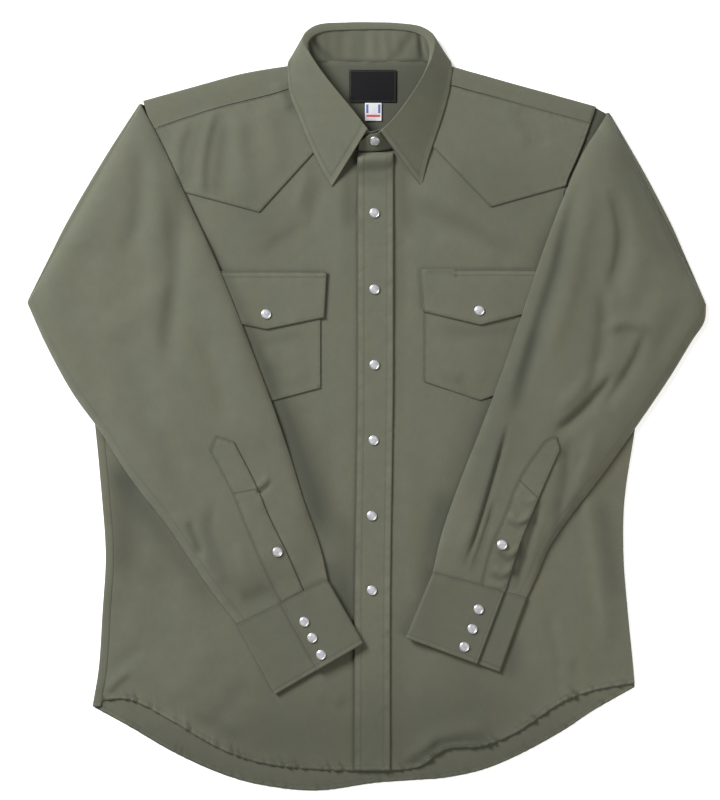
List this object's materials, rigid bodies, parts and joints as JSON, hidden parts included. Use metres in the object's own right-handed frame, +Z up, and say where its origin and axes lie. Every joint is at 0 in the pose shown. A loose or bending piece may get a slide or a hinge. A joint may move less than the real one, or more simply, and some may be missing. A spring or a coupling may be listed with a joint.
{
  "type": "western snap shirt laid flat",
  "caption": "Long-sleeved western shirt laid flat, front up, with pointed yokes, flapped chest pockets, pearl snaps and both sleeves folded over the front.",
  "frame": {"origin": "on the surface the shirt lies on, below the middle of its whole outline", "axes": "+Z up out of the front of the shirt, +Y towards the collar, +X towards the wearer's left side"},
  "size_m": [0.7638, 0.8667, 0.0257],
  "materials": {
    "twill": "washed olive-grey cotton twill, matt with a faint nap",
    "pearl": "silver-white pearl cap, glossy",
    "snap_rim": "nickel-plated snap rim",
    "label_cloth": "black damask label, bare",
    "tag_cloth": "white woven tag with plain bands"
  },
  "bodies": {
    "root": {"back_panel": "twill", "back_yoke": "twill", "placket": "twill", "collar_stand": "twill", "collar_fall": "twill", "front_right": "twill", "front_left": "twill", "front_yoke_right": "twill", "front_yoke_left": "twill", "pocket_right": "twill", "pocket_left": "twill", "flap_right": "twill", "flap_left": "twill", "sleeve_right": "twill", "sleeve_left": "twill", "sleeve_placket_right": "twill", "sleeve_placket_left": "twill", "cuff_right": "twill", "cuff_left": "twill", "neck_label": "label_cloth", "size_tag": "tag_cloth", "snap_front_1": "pearl", "snap_front_2": "pearl", "snap_front_3": "pearl", "snap_front_4": "pearl", "snap_front_5": "pearl", "snap_front_6": "pearl", "snap_front_7": "pearl", "snap_pocket_right": "pearl", "snap_pocket_left": "pearl", "snap_sleeve_right": "pearl", "snap_sleeve_left": "pearl", "snap_cuff_right_1": "pearl", "snap_cuff_right_2": "pearl", "snap_cuff_right_3": "pearl", "snap_cuff_left_1": "pearl", "snap_cuff_left_2": "pearl", "snap_cuff_left_3": "pearl"}
  },
  "joints": []
}
